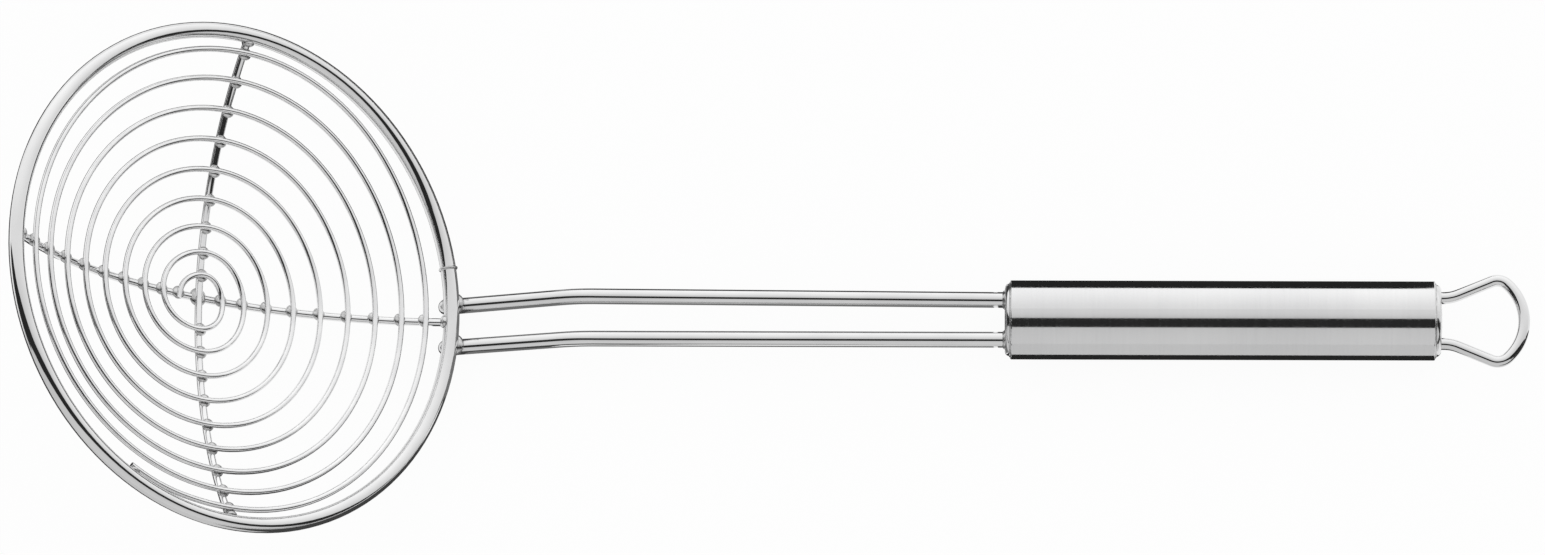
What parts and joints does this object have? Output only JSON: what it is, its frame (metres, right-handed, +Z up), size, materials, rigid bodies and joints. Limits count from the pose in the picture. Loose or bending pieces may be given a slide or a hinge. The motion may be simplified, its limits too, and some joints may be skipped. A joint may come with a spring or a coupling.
{
  "type": "spider skimmer",
  "caption": "Wire spider skimmer: shallow round bowl wound from spiral wire on crossed spokes, twin-rod neck and tube handle with a hanging loop, for lifting food from hot liquid.",
  "frame": {"origin": "on the table under the middle of the whole length, below the handle's axis", "axes": "+X from the bowl to the hanging loop along the handle, +Z up, +Y to the holder's right when the bowl points away and its hollow faces up"},
  "size_m": [0.3829, 0.1322, 0.0771],
  "materials": {
    "rim": "polished stainless wire",
    "spoke": "polished stainless wire",
    "spiral": "polished stainless wire",
    "rod": "polished stainless rod",
    "tube": "satin stainless tube, brushed round",
    "cap": "satin stainless pressing",
    "loop": "polished stainless wire",
    "weld": "dull stainless weld bead"
  },
  "bodies": {
    "root": {"rim_ring": "rim", "rim_butt_weld": "weld", "cross_spoke": "spoke", "axial_spoke": "spoke", "hub_weld": "weld", "spoke_rim_welds": "weld", "spiral_wire": "spiral", "spiral_welds_tip": "weld", "spiral_welds_right": "weld", "spiral_welds_handle": "weld", "spiral_welds_left": "weld", "spiral_end_weld": "weld", "neck_rod_left": "rod", "neck_rod_right": "rod", "neck_rim_weld_left": "weld", "neck_rim_weld_right": "weld", "rod_cap_weld_left": "weld", "rod_cap_weld_right": "weld", "front_cap": "cap", "front_seam_weld": "weld", "handle_tube": "tube", "rear_seam_weld": "weld", "rear_cap": "cap", "hanging_loop": "loop", "loop_inner_welds": "weld"}
  },
  "joints": []
}
